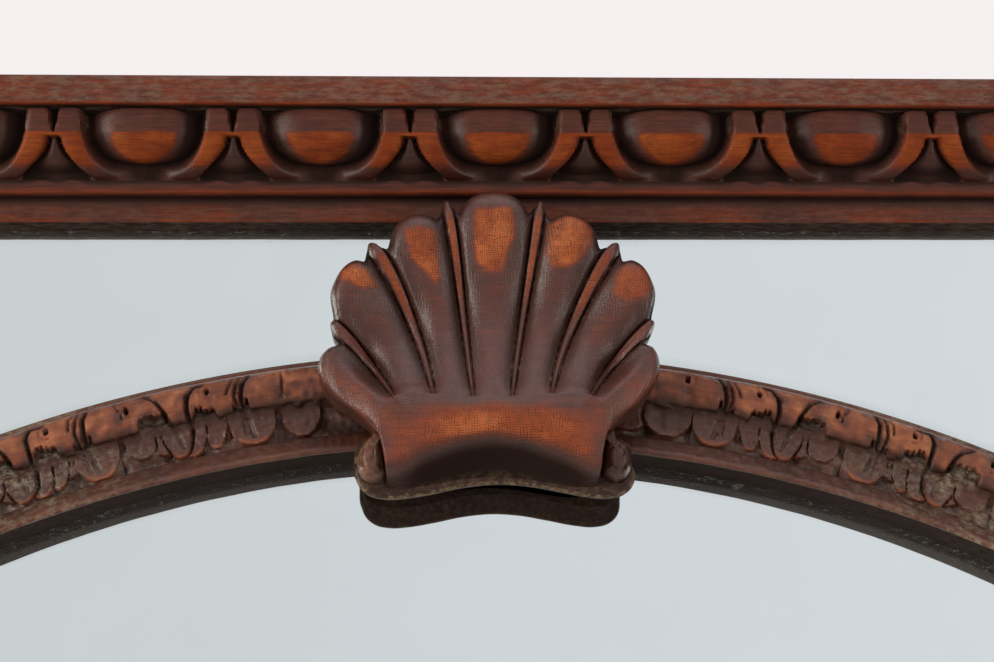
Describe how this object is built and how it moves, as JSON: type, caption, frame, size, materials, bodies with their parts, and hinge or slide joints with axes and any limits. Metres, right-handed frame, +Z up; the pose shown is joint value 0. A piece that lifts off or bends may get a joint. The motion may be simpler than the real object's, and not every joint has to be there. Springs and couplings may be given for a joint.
{
  "type": "pier mirror",
  "caption": "Tall carved wooden pier mirror: egg-and-dart outer frame, mirrored border and arched inner frame topped by a carved scallop shell.",
  "frame": {"origin": "middle of the back, on the wall plane, at the centre of the four wall-screw holes", "axes": "+X to the right and +Z up as the mirror is looked at, -Y out of its face, so the wall is at Y = 0"},
  "size_m": [1.002, 0.072, 1.74],
  "materials": {
    "carved_wood": "old dark varnish, worn on the high points",
    "shell_wood": "old dark varnish, worn on the lobes",
    "deal": "bare softwood",
    "backing_deal": "bare softwood darkened with age",
    "silvered_glass": "old silvering",
    "brass_plate": "dull brass",
    "iron_fastener": "dark iron"
  },
  "bodies": {
    "root": {"top_moulding": "carved_wood", "bottom_moulding": "carved_wood", "left_moulding": "carved_wood", "right_moulding": "carved_wood", "mitre_tongues": "deal", "carcase_top_rail": "deal", "carcase_bottom_rail": "deal", "carcase_left_stile": "deal", "carcase_right_stile": "deal", "corner_pegs": "deal", "ground_bar_left": "backing_deal", "ground_bar_right": "backing_deal", "ground_bar_bottom": "backing_deal", "ground_arch_left": "backing_deal", "ground_arch_right": "backing_deal", "bar_end_screws": "iron_fastener", "arch_moulding_left": "carved_wood", "arch_moulding_right": "carved_wood", "inner_moulding_left": "carved_wood", "inner_moulding_right": "carved_wood", "inner_moulding_bottom": "carved_wood", "inner_splines": "deal", "moulding_screws": "iron_fastener", "shell_crest": "shell_wood", "shell_screws": "iron_fastener", "main_plate": "silvered_glass", "spandrel_plate_left": "silvered_glass", "spandrel_plate_right": "silvered_glass", "border_plate_left": "silvered_glass", "border_plate_right": "silvered_glass", "border_plate_bottom": "silvered_glass", "glazing_blocks": "deal", "backboard_1": "backing_deal", "backboard_2": "backing_deal", "backboard_3": "backing_deal", "backboard_4": "backing_deal", "backboard_5": "backing_deal", "backboard_6": "backing_deal", "backboard_nails": "iron_fastener", "hanging_plate_upper_left": "brass_plate", "hanging_plate_upper_right": "brass_plate", "hanging_plate_lower_left": "brass_plate", "hanging_plate_lower_right": "brass_plate", "hanging_plate_screws": "iron_fastener"}
  },
  "joints": []
}
